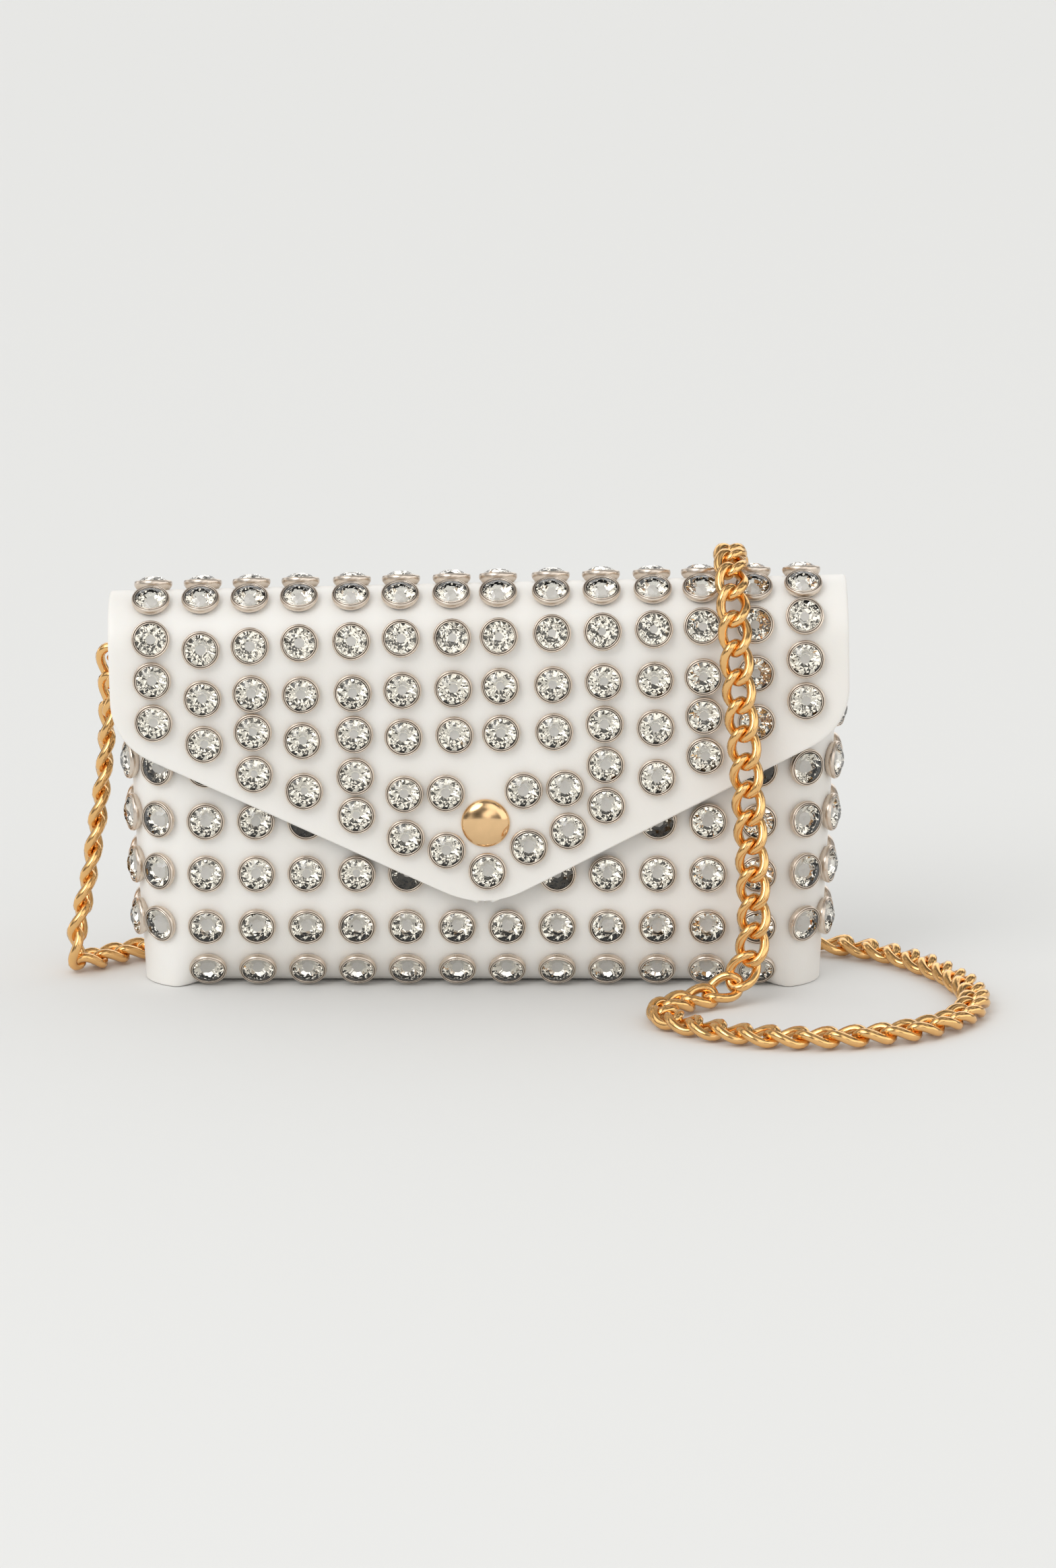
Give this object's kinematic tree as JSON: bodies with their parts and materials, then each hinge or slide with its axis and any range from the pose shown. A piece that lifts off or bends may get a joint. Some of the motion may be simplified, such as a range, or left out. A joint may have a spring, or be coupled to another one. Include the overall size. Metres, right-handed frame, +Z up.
{
  "type": "chain wallet bag",
  "caption": "Small leather envelope bag with a folding flap, set stones on every face, a snap and a curb-chain shoulder strap.",
  "frame": {"origin": "middle of the flat base, where it stands on the ground", "axes": "+X along the width to the viewer's right, -Y out of the front, +Z up"},
  "size_m": [0.2381, 0.1094, 0.1169],
  "materials": {
    "white_leather": "smooth calf, satin",
    "lining_cloth": "dark woven lining",
    "board": "pressed board",
    "bezel_metal": "polished nickel",
    "cut_stone": "foil-backed cut glass",
    "gold_metal": "polished gold plate",
    "chain_metal": "polished gold tone"
  },
  "bodies": {
    "pouch": {"front_shell": "white_leather", "back_shell": "white_leather", "base_board": "board", "front_lining": "lining_cloth", "back_lining": "lining_cloth", "slip_pocket": "lining_cloth", "card_pocket": "lining_cloth", "mouth_binding": "white_leather", "front_settings": "bezel_metal", "front_stones": "cut_stone", "back_settings": "bezel_metal", "back_stones": "cut_stone", "side_settings_left": "bezel_metal", "side_stones_left": "cut_stone", "side_settings_right": "bezel_metal", "side_stones_right": "cut_stone", "snap_stud": "gold_metal", "snap_post": "gold_metal", "ring_tab_left": "white_leather", "ring_tab_right": "white_leather", "tab_rivet_left": "gold_metal", "tab_rivet_right": "gold_metal", "strap_chain_left": "chain_metal", "d_ring_right": "gold_metal"},
    "flap_roof": {"flap_top": "white_leather", "flap_top_lining": "lining_cloth", "flap_top_settings": "bezel_metal", "flap_top_stones": "cut_stone"},
    "flap_face": {"flap_front": "white_leather", "flap_front_lining": "lining_cloth", "flap_settings": "bezel_metal", "flap_stones": "cut_stone", "snap_cap": "gold_metal", "snap_socket": "gold_metal"},
    "ring_left": {"d_ring_left": "gold_metal", "jump_ring_left": "gold_metal"},
    "strap_right": {"jump_ring_right": "gold_metal", "strap_chain_right": "chain_metal"}
  },
  "joints": [
    {"name": "flap_lift", "type": "hinge", "parent": "pouch", "child": "flap_roof", "pos_m": [0, 0.0052, 0.092], "axis": [-0.9997, 0, -0.0227], "range_deg": [0, 105], "deforming": ["strap_chain_right"]},
    {"name": "flap_unfold", "type": "hinge", "parent": "flap_roof", "child": "flap_face", "pos_m": [-0.00031, -0.01171, 0.10569], "axis": [-0.9997, 0, -0.0227], "range_deg": [0, 72], "deforming": ["strap_chain_right"]},
    {"name": "ring_left_swing", "type": "hinge", "parent": "pouch", "child": "ring_left", "pos_m": [-0.088, 0.0115, 0.0825], "axis": [0, 0, 1], "range_deg": [-60, 20], "deforming": ["strap_chain_left"]},
    {"name": "ring_right_swing", "type": "hinge", "parent": "pouch", "child": "strap_right", "pos_m": [0.082, 0.0124, 0.082], "axis": [0, 0, 1], "range_deg": [0, 100], "deforming": ["strap_chain_right"]}
  ],
  "couplings": [
    {"joint": "flap_unfold", "follows": "flap_lift", "ratio": 0.68571},
    {"joint": "ring_right_swing", "follows": "flap_lift", "ratio": 0.95238}
  ]
}
